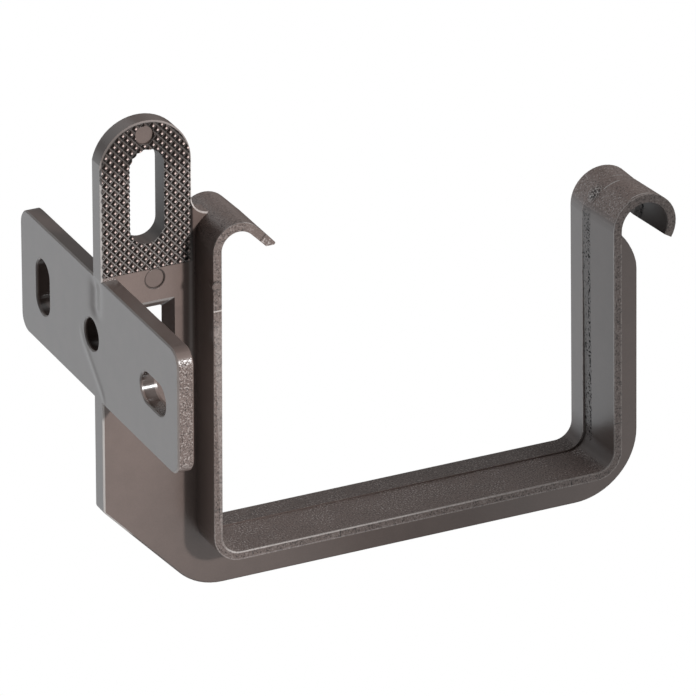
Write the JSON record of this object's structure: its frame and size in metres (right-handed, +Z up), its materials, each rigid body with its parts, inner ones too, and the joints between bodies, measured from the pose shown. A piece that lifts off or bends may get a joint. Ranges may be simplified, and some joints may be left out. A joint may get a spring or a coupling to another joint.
{
  "type": "gutter bracket",
  "caption": "Moulded plastic fascia bracket for a square-section gutter: a U strap with hooked ends on a deep rib, a cross plate with fixing holes and a slotted lug with a grip face.",
  "frame": {"origin": "on the fascia face, in the rib's middle plane, level with the cross plate's lower edge", "axes": "+X from the fascia out to the gutter's front, +Y along the gutter, +Z up"},
  "size_m": [0.1588, 0.0972, 0.135],
  "materials": {
    "brown_plastic": "gloss"
  },
  "bodies": {
    "root": {"gutter_bracket": "brown_plastic"}
  },
  "joints": []
}
